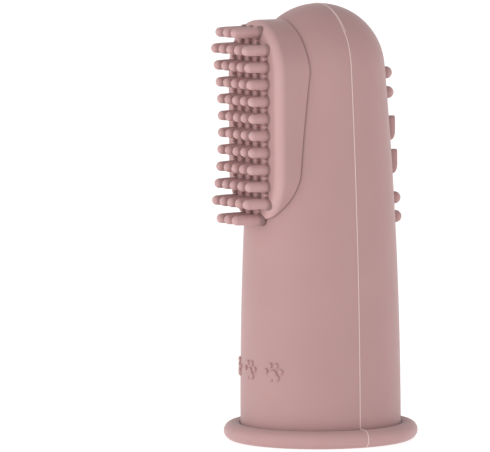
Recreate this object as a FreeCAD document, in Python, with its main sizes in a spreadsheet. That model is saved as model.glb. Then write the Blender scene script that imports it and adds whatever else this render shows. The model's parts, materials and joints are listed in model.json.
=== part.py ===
import FreeCAD, Part

# Silicone finger toothbrush for pets: a soft thimble with a field of bristles on its front
# and rows of massage nubs on its back, cast in one piece.
#
# Frame: millimetres, +Z up along the finger bore, origin at the centre of the flat ring
# that the mouth stands on.  -Y is the side that carries the bristles.
#
# Each moulded feature is a sub-part of its own.  The features touch face to face where the
# rubber is continuous.  A bristle bends close to its root, so each row of bristles is a
# separate set of solids with a rounded foot, seated in the pad, that it can lean about.

import math
import os
import re

import Sketcher
from FreeCAD import Placement, Rotation, Vector

PARTS_FOLDER = "parts"
SHEET = "Dims"

DIMENSIONS = {
    # the thimble
    "total_height": (50.8, "mouth plane to the top of the dome"),
    "bore_radius": (8.5, "finger bore at the mouth"),
    "bore_land": (6.0, "length of the straight part of the bore"),
    "mouth_wall": (0.85, "wall thickness at the mouth"),
    "lead_in": (1.3, "round that leads the finger into the bore"),
    "dome_radius": (7.65, "outside of the fingertip dome"),
    "dome_wall": (1.1, "wall thickness of the dome"),
    # the bead round the mouth
    "bead_radius": (1.03, "half-round section of the rim bead"),
    "rim_overhang": (1.96, "how far the bead stands out from the wall"),
    "bead_slope": (0.14, "drop of the bead's top from its crown to the wall"),
    # the bristle field and its pad
    "row_count": (12, "rows of bristles"),
    "column_count": (5, "bristles in a full row"),
    "short_row_count": (3, "bristles in the first and last rows"),
    "row_pitch": (1.96, "row to row, up the pad"),
    "column_pitch": (1.86, "bristle to bristle, across the pad"),
    "pad_side_margin": (2.58, "outer bristle's axis to the pad's side"),
    "pad_end_margin": (1.37, "end row's axis to the pad's end"),
    "pad_top_gap": (1.7, "pad's top below the top of the dome"),
    "pad_edge_round": (1.1, "round along the edge of the pad's face"),
    # bristles, their seats, and the short studs between their rows
    "bristle_root_radius": (0.65, "bristle at its root"),
    "bristle_taper": (0.09, "round tip's radius less than the root's"),
    "bristle_short": (2.33, "bristle length at the middle of the field"),
    "bristle_long": (3.57, "bristle length in the end rows"),
    "seat_depth": (0.12, "bristle's rounded foot below the pad's face"),
    "seat_clearance": (0.04, "gap round a bristle's foot in its seat"),
    "seat_floor": (0.02, "rubber between the last row's seats and the wall"),
    "stud_gap": (0.07, "short stud to the bristles above and below it"),
    "stud_height": (0.55, "short stud above the pad"),
    # the massage nubs on the back
    "nub_middle_drop": (8.95, "middle of the nub pattern below the dome's centre"),
    "nub_column_angle": (17.5, "degrees from one nub column to the next"),
    "nub_radius": (0.72, "round nub"),
    "nub_height": (0.95, "round nub above the wall"),
    "bar_length": (2.85, "upright bar, end to end"),
    "bar_width": (1.15, "upright bar, side to side"),
    "bar_height": (0.72, "upright bar above the wall at its top"),
    "bar_end_round": (0.45, "round on the ends and edges of a bar"),
    # the raised paw prints low on the front
    "paw_height": (8.4, "middle of the paw prints above the mouth"),
    "paw_spacing_angle": (25.0, "degrees from one paw print to the next"),
    "paw_relief": (0.25, "how far the paw prints are raised"),
    "paw_lobe_radius": (0.5, "middle lobe of a print's large pad"),
    "paw_lobe_drop": (0.06, "middle lobe below the print's middle"),
    "paw_side_lobe_radius": (0.4, "side lobes of the large pad"),
    "paw_side_lobe_drop": (0.6, "side lobes below the print's middle"),
    "paw_side_lobe_spread": (0.5, "side lobes to the print's middle line"),
    "paw_toe_radius": (0.3, "a print's toe pads"),
    "paw_inner_toe_spread": (0.42, "inner toe pads to the print's middle line"),
    "paw_inner_toe_rise": (0.95, "inner toe pads above the print's middle"),
    "paw_outer_toe_spread": (1.05, "outer toe pads to the print's middle line"),
    "paw_outer_toe_rise": (0.285, "outer toe pads above the print's middle"),
}

# Sizes that follow from the ones above
MOUTH_RADIUS = "(bore_radius + mouth_wall)"
LEAD_IN_CENTRE = "(bore_radius + lead_in)"
LAND_TOP = "(lead_in + bore_land)"
DOME_CENTRE = "(total_height - dome_radius)"
BEAD_TOP = "(2 * bead_radius)"
BEAD_CENTRE = f"({MOUTH_RADIUS} + rim_overhang - bead_radius)"
BEND_HEIGHT = "(bristle_root_radius - seat_depth)"
SEAT_RADIUS = "(bristle_root_radius + seat_clearance)"
STUD_RADIUS = "(row_pitch / 2 - bristle_root_radius - stud_gap)"
PAD_HALF_WIDTH = "((column_count - 1) / 2 * column_pitch + pad_side_margin)"
PAD_HALF_HEIGHT = "((row_count - 1) / 2 * row_pitch + pad_end_margin)"
FIELD_MIDDLE = f"(total_height - pad_top_gap - {PAD_HALF_HEIGHT})"

# Heights of the nub rows above the middle of their pattern, and their columns
DOME_ROWS = [8.4, 6.1, -6.2, -8.4]
BAR_ROWS = [1.95, -1.95]
NUB_COLUMNS = [-1, 0, 1]

# Paw prints round the front, and the pads of one print: across, and above its middle
PAWS = {"left": -1, "middle": 0, "right": 1}
PAW_LOBES = [("0", "-paw_lobe_drop", "paw_lobe_radius"),
             ("-paw_side_lobe_spread", "-paw_side_lobe_drop", "paw_side_lobe_radius"),
             ("paw_side_lobe_spread", "-paw_side_lobe_drop", "paw_side_lobe_radius")]
PAW_TOES = [("-paw_outer_toe_spread", "paw_outer_toe_rise"),
            ("-paw_inner_toe_spread", "paw_inner_toe_rise"),
            ("paw_inner_toe_spread", "paw_inner_toe_rise"),
            ("paw_outer_toe_spread", "paw_outer_toe_rise")]

# How far a cutting shape reaches past what it cuts, as a share of its size, and how closely
# an edge has to lie in a face to count as one of its edges, in millimetres
CUT_MARGIN = 1.5
IN_FACE = 0.01

X_AXIS, Y_AXIS, Z_AXIS = Vector(1, 0, 0), Vector(0, 1, 0), Vector(0, 0, 1)

doc = FreeCAD.newDocument("finger_toothbrush")
sub_parts = []


# ---------------------------------------------------------------- sheet and small helpers

def make_sheet():
    sheet = doc.addObject("Spreadsheet::Sheet", SHEET)
    for row, (alias, (number, meaning)) in enumerate(DIMENSIONS.items(), start=1):
        sheet.set(f"A{row}", alias)
        sheet.set(f"B{row}", str(number))
        sheet.set(f"C{row}", meaning)
        sheet.setAlias(f"B{row}", alias)
    doc.recompute()
    return sheet


def in_sheet(expression):
    """Write the sheet's name before each alias in an expression."""
    def named(word):
        return f"{SHEET}.{word[0]}" if word[0] in DIMENSIONS else word[0]
    return re.sub(r"[a-z_]+", named, expression)


def value(expression):
    """Work out an expression in the sheet's aliases."""
    return float(sheet.evalExpression(in_sheet(expression)))


def bind(thing, **expressions):
    """Bind properties of an object to expressions in the sheet's aliases."""
    for path, expression in expressions.items():
        thing.setExpression(path.replace("__", "."), in_sheet(expression))


def place(thing, x="0", y="0", z="0", rotation=None):
    """Put an object at expressions in the sheet's aliases, turned if asked."""
    thing.Placement = Placement(Vector(0, 0, 0), rotation or Rotation())
    bind(thing, Placement__Base__x=x, Placement__Base__y=y, Placement__Base__z=z)


def face_outwards(thing, angle, reach, height):
    """Put an object at a distance from the bore's axis, with its own +X pointing out."""
    place(thing, x=f"{reach} * cos({angle})", y=f"{reach} * sin({angle})", z=height,
          rotation=Rotation(Z_AXIS, value(angle)))
    bind(thing, Placement__Rotation__Angle=angle)


def keep(thing, label):
    """Note an object as a sub-part, under the name that its file gets."""
    thing.Label = label
    sub_parts.append(thing)
    return thing


def new_body(label, loose=False):
    body = doc.addObject("PartDesign::Body", "Body_" + label)
    body.AllowCompound = loose
    return body


def origin_of(body, role):
    return next(feature for feature in body.Origin.OriginFeatures if feature.Role == role)


def new_sketch(body, name, role="XZ_Plane"):
    sketch = body.newObject("Sketcher::SketchObject", name)
    sketch.AttachmentSupport = (origin_of(body, role), "")
    sketch.MapMode = "FlatFace"
    return sketch


def line(sketch, start, end):
    return sketch.addGeometry(Part.LineSegment(Vector(*start, 0), Vector(*end, 0)), False)


def arc(sketch, centre, radius, start_angle, end_angle):
    """An arc that runs anticlockwise between two angles in degrees."""
    circle = Part.Circle(Vector(*centre, 0), Z_AXIS, radius)
    span = Part.ArcOfCircle(circle, math.radians(start_angle), math.radians(end_angle))
    return sketch.addGeometry(span, False)


START, END, CENTRE = 1, 2, 3
AXES = -1
VERTICAL_AXIS = -2


def constrain(sketch, *terms):
    return sketch.addConstraint(Sketcher.Constraint(*terms))


def join(sketch, first, first_point, second, second_point):
    constrain(sketch, "Coincident", first, first_point, second, second_point)


def flow(sketch, first, first_point, second, second_point):
    """Join two ends so that one edge runs smoothly into the other."""
    constrain(sketch, "Tangent", first, first_point, second, second_point)


def chain(sketch, *edges):
    """Join each edge's end to the next one's start."""
    for first, second in zip(edges, edges[1:]):
        join(sketch, first, END, second, START)


def level(sketch, *edges):
    for edge in edges:
        constrain(sketch, "Horizontal", edge)


def upright(sketch, *edges):
    for edge in edges:
        constrain(sketch, "Vertical", edge)


def on_axis(sketch, edge, point):
    constrain(sketch, "PointOnObject", edge, point, VERTICAL_AXIS)


def across(sketch, edge, point, expression):
    """Fix a point's distance from the vertical axis."""
    number = constrain(sketch, "DistanceX", AXES, START, edge, point, value(expression))
    sketch.setExpression(f"Constraints[{number}]", in_sheet(expression))


def above(sketch, edge, point, expression):
    """Fix a point's distance from the horizontal axis."""
    number = constrain(sketch, "DistanceY", AXES, START, edge, point, value(expression))
    sketch.setExpression(f"Constraints[{number}]", in_sheet(expression))


def radius_of(sketch, edge, expression):
    number = constrain(sketch, "Radius", edge, value(expression))
    sketch.setExpression(f"Constraints[{number}]", in_sheet(expression))


def revolve(body, sketch, name):
    feature = body.newObject("PartDesign::Revolution", name)
    feature.Profile = sketch
    feature.ReferenceAxis = (sketch, ["V_Axis"])
    feature.Angle = 360.0
    sketch.Visibility = False
    return feature


def joined(kind, name, shapes):
    thing = doc.addObject(kind, name)
    if kind == "Part::Compound":
        thing.Links = shapes
    else:
        thing.Shapes = shapes
    return thing


def cut_from(name, base, tool):
    cut = doc.addObject("Part::Cut", name)
    cut.Base = base
    cut.Tool = tool
    return cut


def rounded(name, base, radius, chosen):
    """Round those edges of an object whose boxes a test picks out."""
    fillet = doc.addObject("Part::Fillet", name)
    fillet.Base = base
    fillet.Edges = [(number, value(radius), value(radius))
                    for number, edge in enumerate(base.Shape.Edges, start=1)
                    if chosen(edge.BoundBox)]
    return fillet


# ------------------------------------------------------------------------- worked-out sizes

def side_radius(foot_radius, foot_height, crown_radius):
    """Radius of the arc that leaves a foot upright and runs smoothly into the dome."""
    return (f"((({DOME_CENTRE} - {foot_height})^2 + {foot_radius}^2 - {crown_radius}^2)"
            f" / (2 * ({foot_radius} - {crown_radius})))")


def wall_radius(height):
    """Outside radius of the thimble at a height between the rim and the dome."""
    bend = side_radius(MOUTH_RADIUS, BEAD_TOP, "dome_radius")
    return f"({MOUTH_RADIUS} - {bend} + sqrt({bend}^2 - ({height} - {BEAD_TOP})^2))"


def row_height(row):
    return f"({FIELD_MIDDLE} + ((row_count + 1) / 2 - {row}) * row_pitch)"


def pad_face():
    """Distance of the pad's face from the bore's axis."""
    return f"({wall_radius(row_height('row_count'))} + seat_depth + seat_clearance + seat_floor)"


def bristle_length(row):
    """Length above the pad's face, which is least in the middle of the field."""
    return ("(bristle_short + (bristle_long - bristle_short)"
            f" * ((row_count + 1 - 2 * {row}) / (row_count - 1))^2)")


def last_row():
    return int(value("row_count"))


def columns_in(row):
    """The alias of the number of bristles in a row."""
    return "short_row_count" if row in (1, last_row()) else "column_count"


# ---------------------------------------------------------------------------- the thimble

def side_arc(sketch, foot_radius, foot_height, crown_radius):
    """The arc up one side and the arc over the dome, where they meet smoothly."""
    bend = value(side_radius(foot_radius, foot_height, crown_radius))
    foot = value(foot_radius)
    start = value(foot_height)
    middle = value(DOME_CENTRE)
    meet = math.degrees(math.atan2(middle - start, bend - foot))
    side = arc(sketch, (foot - bend, start), bend, 0, meet)
    dome = arc(sketch, (0, middle), value(crown_radius), meet, 90)
    flow(sketch, side, END, dome, START)
    radius_of(sketch, dome, crown_radius)
    return side, dome


def outer_profile(sketch):
    """The outside of the thimble from its mouth to the top of its dome."""
    foot = value(MOUTH_RADIUS)
    wall = line(sketch, (foot, 0), (foot, value(BEAD_TOP)))
    side, dome = side_arc(sketch, MOUTH_RADIUS, BEAD_TOP, "dome_radius")
    upright(sketch, wall)
    flow(sketch, wall, END, side, START)
    on_axis(sketch, dome, CENTRE)
    on_axis(sketch, dome, END)
    across(sketch, wall, START, MOUTH_RADIUS)
    above(sketch, wall, END, BEAD_TOP)
    above(sketch, dome, END, "total_height")
    return wall, dome


def lead_in_arc(sketch, end_angle):
    """The round that leads from the mouth into the bore, from the bore outwards."""
    edge = arc(sketch, (value(LEAD_IN_CENTRE), value("lead_in")), value("lead_in"),
               180, end_angle)
    across(sketch, edge, CENTRE, LEAD_IN_CENTRE)
    above(sketch, edge, CENTRE, "lead_in")
    radius_of(sketch, edge, "lead_in")
    return edge


def lip_angle():
    """Where the round in the mouth crosses the outside of the wall, in degrees."""
    return 180 + math.degrees(math.acos(value("(lead_in - mouth_wall) / lead_in")))


def finger_sleeve():
    body = new_body("finger_sleeve")
    sketch = new_sketch(body, "sleeve_profile")
    wall, dome = outer_profile(sketch)
    lip = lead_in_arc(sketch, lip_angle())
    bore = value("bore_radius")
    land = line(sketch, (bore, value("lead_in")), (bore, value(LAND_TOP)))
    inside, ceiling = side_arc(sketch, "bore_radius", LAND_TOP, "(dome_radius - dome_wall)")
    top = line(sketch, (0, value("total_height - dome_wall")), (0, value("total_height")))
    join(sketch, wall, START, lip, END)
    flow(sketch, land, START, lip, START)
    flow(sketch, land, END, inside, START)
    join(sketch, ceiling, CENTRE, dome, CENTRE)
    join(sketch, ceiling, END, top, START)
    join(sketch, top, END, dome, END)
    upright(sketch, top)
    above(sketch, land, END, LAND_TOP)
    revolve(body, sketch, "sleeve_turn")
    return keep(body, "finger_sleeve")


def solid_thimble():
    """The thimble without its bore, which trims the pad to the wall."""
    body = new_body("solid_thimble")
    sketch = new_sketch(body, "solid_profile")
    wall, dome = outer_profile(sketch)
    base = line(sketch, (0, 0), (value(MOUTH_RADIUS), 0))
    core = line(sketch, (0, 0), (0, value("total_height")))
    level(sketch, base)
    join(sketch, core, START, AXES, START)
    join(sketch, base, START, core, START)
    join(sketch, base, END, wall, START)
    join(sketch, core, END, dome, END)
    revolve(body, sketch, "solid_turn")
    return body


def base_rim():
    """A half-round bead, flat underneath, whose inner edge follows the round of the bore."""
    body = new_body("base_rim")
    sketch = new_sketch(body, "rim_profile")
    wall = value(MOUTH_RADIUS)
    bead = value("bead_radius")
    middle = value(BEAD_CENTRE)
    outer = value(LEAD_IN_CENTRE)
    round_in = value("lead_in")
    shoulder = value(f"{BEAD_TOP} - bead_slope")
    lip_height = round_in - math.sqrt(round_in ** 2 - (outer - wall) ** 2)
    stand = line(sketch, (outer, 0), (middle, 0))
    half_round = arc(sketch, (middle, bead), bead, -90, 90)
    slope = line(sketch, (middle, 2 * bead), (wall, shoulder))
    inner = line(sketch, (wall, shoulder), (wall, lip_height))
    lip = arc(sketch, (outer, round_in), round_in, lip_angle(), 270)
    flow(sketch, stand, END, half_round, START)
    chain(sketch, half_round, slope, inner, lip)
    flow(sketch, lip, END, stand, START)
    level(sketch, stand)
    upright(sketch, inner)
    constrain(sketch, "Vertical", half_round, CENTRE, half_round, END)
    radius_of(sketch, half_round, "bead_radius")
    across(sketch, half_round, CENTRE, BEAD_CENTRE)
    above(sketch, half_round, CENTRE, "bead_radius")
    across(sketch, inner, START, MOUTH_RADIUS)
    above(sketch, inner, START, f"{BEAD_TOP} - bead_slope")
    across(sketch, lip, CENTRE, LEAD_IN_CENTRE)
    radius_of(sketch, lip, "lead_in")
    revolve(body, sketch, "rim_turn")
    return keep(body, "base_rim")


# --------------------------------------------------------------------------- the bristles

def pattern_across(body, features, name, count):
    """Repeat a body's first bristle or stud across the pad."""
    pattern = body.newObject("PartDesign::LinearPattern", name)
    pattern.Originals = features
    pattern.Direction = (origin_of(body, "X_Axis"), [""])
    bind(pattern, Length=f"({count} - 1) * column_pitch", Occurrences=count)
    body.Tip = pattern
    return pattern


def stand_on_pad(body, count, height, rise="0"):
    """Turn a body so that its own +Y points out of the pad, and put it at a height."""
    place(body, x=f"({count} - 1) / 2 * column_pitch", y=f"-({pad_face()} + {rise})",
          z=height, rotation=Rotation(Z_AXIS, 180))


def bristle_turn(body, row):
    """A bristle as a turned shape, whose root is still square below the bending line."""
    sketch = new_sketch(body, "bristle_profile", "XY_Plane")
    root = value("bristle_root_radius")
    tip = value("bristle_root_radius - bristle_taper")
    reach = f"({bristle_length(row)} - {BEND_HEIGHT})"
    length = value(reach)
    core = line(sketch, (0, -root), (0, length))
    heel = line(sketch, (0, -root), (root, -root))
    shank = line(sketch, (root, -root), (root, 0))
    flank = line(sketch, (root, 0), (tip, length - tip))
    end = arc(sketch, (0, length - tip), tip, 0, 90)
    join(sketch, core, START, heel, START)
    chain(sketch, heel, shank, flank, end)
    join(sketch, end, END, core, END)
    level(sketch, heel)
    upright(sketch, core, shank)
    on_axis(sketch, core, START)
    on_axis(sketch, end, CENTRE)
    constrain(sketch, "Horizontal", end, CENTRE, end, START)
    constrain(sketch, "PointOnObject", shank, END, AXES)
    across(sketch, shank, END, "bristle_root_radius")
    above(sketch, core, START, "-bristle_root_radius")
    radius_of(sketch, end, "bristle_root_radius - bristle_taper")
    above(sketch, core, END, reach)
    return revolve(body, sketch, "bristle_turn")


def foot_round(body):
    """Round the root about the bending line, so that it rolls in its seat."""
    sketch = new_sketch(body, "foot_profile", "YZ_Plane")
    root = value("bristle_root_radius")
    margin = CUT_MARGIN * root
    half = arc(sketch, (0, 0), root, 90, 270)
    up = line(sketch, (0, root), (0, margin))
    lid = line(sketch, (0, margin), (-margin, margin))
    back = line(sketch, (-margin, margin), (-margin, -margin))
    floor = line(sketch, (-margin, -margin), (0, -margin))
    down = line(sketch, (0, -margin), (0, -root))
    join(sketch, half, START, up, START)
    chain(sketch, up, lid, back, floor, down)
    join(sketch, down, END, half, END)
    upright(sketch, up, back, down)
    level(sketch, lid, floor)
    join(sketch, half, CENTRE, AXES, START)
    on_axis(sketch, half, START)
    on_axis(sketch, half, END)
    radius_of(sketch, half, "bristle_root_radius")
    across(sketch, back, START, f"-{CUT_MARGIN} * bristle_root_radius")
    above(sketch, back, START, f"{CUT_MARGIN} * bristle_root_radius")
    above(sketch, back, END, f"-{CUT_MARGIN} * bristle_root_radius")
    cut = body.newObject("PartDesign::Pocket", "foot_round")
    cut.Profile = sketch
    cut.Type = "ThroughAll"
    cut.Midplane = True
    sketch.Visibility = False
    return cut


def bristle_row(row):
    """One row of bristles.  The body's origin lies on the line that the row bends about."""
    label = f"bristle_row_{row:02d}"
    body = new_body(label, loose=True)
    bristle = bristle_turn(body, row)
    cut = foot_round(body)
    doc.recompute()
    if not cut.Shape.Volume < bristle.Shape.Volume:
        raise RuntimeError("the foot of a bristle was not rounded")
    pattern_across(body, [bristle, cut], "bristles_across", columns_in(row))
    stand_on_pad(body, columns_in(row), row_height(row), rise=BEND_HEIGHT)
    return keep(body, label)


def stud_row(row):
    """The short studs between a row of bristles and the next one down."""
    label = f"stud_row_{row:02d}"
    count = min(columns_in(row), columns_in(row + 1), key=value)
    radius = value(STUD_RADIUS)
    height = value("stud_height")
    body = new_body(label, loose=True)
    sketch = new_sketch(body, "stud_profile", "XY_Plane")
    core = line(sketch, (0, 0), (0, height))
    base = line(sketch, (0, 0), (radius, 0))
    side = line(sketch, (radius, 0), (radius, height - radius))
    end = arc(sketch, (0, height - radius), radius, 0, 90)
    join(sketch, core, START, AXES, START)
    join(sketch, core, START, base, START)
    join(sketch, base, END, side, START)
    flow(sketch, side, END, end, START)
    join(sketch, end, END, core, END)
    level(sketch, base)
    upright(sketch, core, side)
    on_axis(sketch, end, CENTRE)
    radius_of(sketch, end, STUD_RADIUS)
    above(sketch, core, END, "stud_height")
    stud = revolve(body, sketch, "stud_turn")
    pattern_across(body, [stud], "studs_across", count)
    stand_on_pad(body, count, row_height(row + 0.5))
    return keep(body, label)


# -------------------------------------------------------------------------------- the pad

def pad_end(name, height):
    """The half-round end of the pad, as a whole cylinder from the bore's axis outwards."""
    cylinder = doc.addObject("Part::Cylinder", name)
    bind(cylinder, Radius=PAD_HALF_WIDTH, Height=pad_face())
    place(cylinder, z=height, rotation=Rotation(X_AXIS, 90))
    return cylinder


def seat(row, column):
    """The hollow in the pad that holds a bristle's foot."""
    cylinder = doc.addObject("Part::Cylinder", f"seat_{row:02d}_{column + 1}")
    bind(cylinder, Radius=SEAT_RADIUS, Height=f"2 * {SEAT_RADIUS}")
    place(cylinder,
          x=f"({column} - ({columns_in(row)} - 1) / 2) * column_pitch - {SEAT_RADIUS}",
          y=f"-({pad_face()} + {BEND_HEIGHT})",
          z=row_height(row), rotation=Rotation(Y_AXIS, 90))
    return cylinder


def brush_pad():
    half_straight = f"({PAD_HALF_HEIGHT} - {PAD_HALF_WIDTH})"
    block = doc.addObject("Part::Box", "pad_middle")
    bind(block, Length=f"2 * {PAD_HALF_WIDTH}", Width=pad_face(), Height=f"2 * {half_straight}")
    place(block, x=f"-{PAD_HALF_WIDTH}", y=f"-{pad_face()}",
          z=f"{FIELD_MIDDLE} - {half_straight}")
    top = pad_end("pad_end_top", f"{FIELD_MIDDLE} + {half_straight}")
    bottom = pad_end("pad_end_bottom", f"{FIELD_MIDDLE} - {half_straight}")
    slab = joined("Part::MultiFuse", "pad_slab", [block, top, bottom])
    slab.Refine = True
    doc.recompute()
    face_y = slab.Shape.BoundBox.YMin
    soft_edged = rounded("pad_rounded", slab, "pad_edge_round",
                         lambda box: box.YMax < face_y + IN_FACE)
    on_wall = cut_from("pad_on_wall", soft_edged, solid_thimble())
    seats = [seat(row, column)
             for row in range(1, last_row() + 1)
             for column in range(int(value(columns_in(row))))]
    return keep(cut_from("pad_with_seats", on_wall, joined("Part::Compound", "seats", seats)),
                "brush_pad")


# -------------------------------------------------------------------- nubs and paw prints

def post(name, radius, length, y="0", z="0"):
    """A cylinder along +X, which starts at the origin of the object it is used in."""
    cylinder = doc.addObject("Part::Cylinder", name)
    bind(cylinder, Radius=radius, Height=length)
    place(cylinder, y=y, z=z, rotation=Rotation(Y_AXIS, 90))
    return cylinder


def wall_cone(name, height, half_height):
    """A cone that lies on the wall from outside and touches it at one height."""
    half = f"({CUT_MARGIN} * {half_height})"
    wide, narrow = wall_radius(f"({height} - {half})"), wall_radius(f"({height} + {half})")
    lean = f"(({wide} - {narrow}) / 2)"
    cone = doc.addObject("Part::Cone", name)
    bind(cone, Radius1=f"{wall_radius(height)} + {lean}",
         Radius2=f"{wall_radius(height)} - {lean}", Height=f"2 * {half}")
    place(cone, z=f"{height} - {half}")
    return cone


def massage_dome(name, angle, height):
    """A round nub: a short post with a ball end, rooted in the wall."""
    stem = post(name + "_post", "nub_radius", "nub_height")
    ball = doc.addObject("Part::Sphere", name + "_ball")
    bind(ball, Radius="nub_radius")
    place(ball, x="nub_height")
    dome = joined("Part::MultiFuse", name, [stem, ball])
    face_outwards(dome, angle, f"({wall_radius(height)} - nub_radius)", height)
    return dome


def massage_bar(name, angle, height):
    """An upright nub: a bar whose outer face is parallel to the bore."""
    block = doc.addObject("Part::Box", name + "_block")
    bind(block, Length="2 * bar_height", Width="bar_width", Height="bar_length")
    place(block, y="-bar_width / 2", z="-bar_length / 2")
    doc.recompute()
    outer = block.Shape.BoundBox.XMax
    bar = rounded(name, block, "bar_end_round", lambda box: box.XMax > outer - IN_FACE)
    reach = f"({wall_radius(f'({height} + bar_length / 2)')} - bar_height)"
    face_outwards(bar, angle, reach, height)
    return bar


def nub_row(label, make_nub, offset, half_height):
    """Nubs in one row across the back, one to a column."""
    height = f"({DOME_CENTRE} - nub_middle_drop + {offset})"
    nubs = [make_nub(f"{label}_nub_{number}", f"(90 + {side} * nub_column_angle)", height)
            for number, side in enumerate(NUB_COLUMNS, start=1)]
    group = joined("Part::Compound", label + "_nubs", nubs)
    wall = wall_cone(label + "_wall", height, half_height)
    return keep(cut_from("trimmed_" + label, group, wall), label)


def paw_print(name, side):
    """A raised paw print: a large pad in three lobes, and four toe pads."""
    label = f"paw_print_{name}"
    reach = f"{MOUTH_RADIUS} + paw_relief"
    lobes = [post(f"{label}_lobe_{number}", radius, reach, y=y, z=z)
             for number, (y, z, radius) in enumerate(PAW_LOBES, start=1)]
    toes = [post(f"{label}_toe_{number}", "paw_toe_radius", reach, y=y, z=z)
            for number, (y, z) in enumerate(PAW_TOES, start=1)]
    large_pad = joined("Part::MultiFuse", label + "_pad", lobes)
    pads = joined("Part::Compound", label + "_pads", [large_pad] + toes)
    face_outwards(pads, f"({side} * paw_spacing_angle - 90)", "0", "paw_height")
    skin = doc.addObject("Part::Cylinder", label + "_skin")
    bind(skin, Radius=f"{wall_radius('paw_height')} + paw_relief", Height="2 * paw_height")
    raised = doc.addObject("Part::Common", label + "_raised")
    raised.Base = pads
    raised.Tool = skin
    wall = wall_cone(label + "_wall", "paw_height", "(paw_inner_toe_rise + paw_toe_radius)")
    return keep(cut_from("trimmed_" + label, raised, wall), label)


# ----------------------------------------------------------------------- build and write

def check(things):
    """Stop on any object that did not come out, or sub-part that is not sound."""
    for thing in things:
        if {"Invalid", "Error"} & set(thing.State):
            raise RuntimeError(f"{thing.Name} failed: {thing.State}")
    for part in sub_parts:
        if part.Shape.isNull() or not part.Shape.isValid() or not part.Shape.Solids:
            raise RuntimeError(f"sub-part {part.Label} has no sound shape")


def write_parts():
    os.makedirs(PARTS_FOLDER, exist_ok=True)
    for part in sub_parts:
        part.Shape.exportStep(os.path.join(PARTS_FOLDER, part.Label + ".step"))
        print(f"{part.Label}: {len(part.Shape.Solids)} solids, {part.Shape.Volume:.2f} mm3")


def build():
    finger_sleeve()
    base_rim()
    brush_pad()
    for row in range(1, last_row() + 1):
        bristle_row(row)
    for row in range(1, last_row()):
        stud_row(row)
    for number, offset in enumerate(DOME_ROWS, start=1):
        nub_row(f"massage_dome_row_{number}", massage_dome, offset, "nub_radius")
    for number, offset in enumerate(BAR_ROWS, start=1):
        nub_row(f"massage_bar_row_{number}", massage_bar, offset, "bar_length / 2")
    for name, side in PAWS.items():
        paw_print(name, side)
    doc.recompute()


sheet = make_sheet()
build()
check(doc.Objects)
write_parts()
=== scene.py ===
import json
import math

import bmesh
import bpy
from bpy.props import FloatProperty, FloatVectorProperty, IntProperty, PointerProperty
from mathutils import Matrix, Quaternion, Vector


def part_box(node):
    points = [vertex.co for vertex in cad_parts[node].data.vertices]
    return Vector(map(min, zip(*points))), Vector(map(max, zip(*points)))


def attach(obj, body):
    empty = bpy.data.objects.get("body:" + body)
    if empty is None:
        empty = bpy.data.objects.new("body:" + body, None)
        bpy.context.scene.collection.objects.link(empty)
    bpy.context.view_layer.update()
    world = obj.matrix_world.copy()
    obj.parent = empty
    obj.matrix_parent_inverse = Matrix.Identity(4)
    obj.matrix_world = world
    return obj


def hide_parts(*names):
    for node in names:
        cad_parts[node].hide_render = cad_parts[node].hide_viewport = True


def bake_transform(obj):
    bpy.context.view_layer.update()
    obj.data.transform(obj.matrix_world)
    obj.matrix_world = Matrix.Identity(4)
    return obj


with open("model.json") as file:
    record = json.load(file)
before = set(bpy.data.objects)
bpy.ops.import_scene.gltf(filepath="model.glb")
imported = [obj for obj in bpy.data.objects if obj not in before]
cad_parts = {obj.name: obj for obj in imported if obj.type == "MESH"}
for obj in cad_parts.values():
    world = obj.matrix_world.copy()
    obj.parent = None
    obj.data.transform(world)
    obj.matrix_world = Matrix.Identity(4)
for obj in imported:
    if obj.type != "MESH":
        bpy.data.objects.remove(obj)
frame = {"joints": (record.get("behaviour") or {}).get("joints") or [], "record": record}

bl_info = {
    "name": "Silicone finger toothbrush",
    "version": (1, 0, 0),
    "blender": (4, 5, 0),
    "location": "3D view > Sidebar > Toothbrush",
    "description": "Models a silicone finger toothbrush for pets on its mechanical frame",
    "category": "Object",
}

MM = 0.001
MOULDING = "moulding"
# Point attribute of painted light: above zero a painted highlight on crests, below zero painted
# shade in hollows.
PAINTED_LIGHT = "crest"

# --------------------------------------------------------- sizes read from the frame

JOINTS = sorted(frame["joints"], key=lambda joint: joint["name"])
BORE = next(mount for mount in frame["record"]["mounts"] if mount["name"] == "finger_bore")
PAD_LOW, PAD_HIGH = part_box("brush_pad")

TOTAL_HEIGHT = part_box("finger_sleeve")[1].z
RIM_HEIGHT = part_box("base_rim")[1].z
RIM_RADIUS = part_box("base_rim")[1].x
STUD_FACE = -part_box("stud_row_02")[0].y
BORE_RADIUS = BORE["dims"]["r_mm"] * MM
PAD_FACE = -PAD_LOW.y
PAD_MIDDLE = (PAD_LOW.z + PAD_HIGH.z) / 2
ROW_HEIGHTS = [joint["pos_m"][2] for joint in JOINTS]


# ------------------------------------------------------------------------ properties

def length(name, description, default):
    return FloatProperty(name=name, description=description, default=default, min=0.0,
                         unit="LENGTH", precision=6)


def share(name, description, default):
    return FloatProperty(name=name, description=description, default=default,
                         min=0.0, max=1.0, subtype="FACTOR")


def colour(name, description, default):
    return FloatVectorProperty(name=name, description=description, default=default,
                               size=3, min=0.0, max=1.0, subtype="COLOR")


def angle(name, description, degrees):
    return FloatProperty(name=name, description=description, default=math.radians(degrees),
                         subtype="ANGLE", unit="ROTATION")


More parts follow.
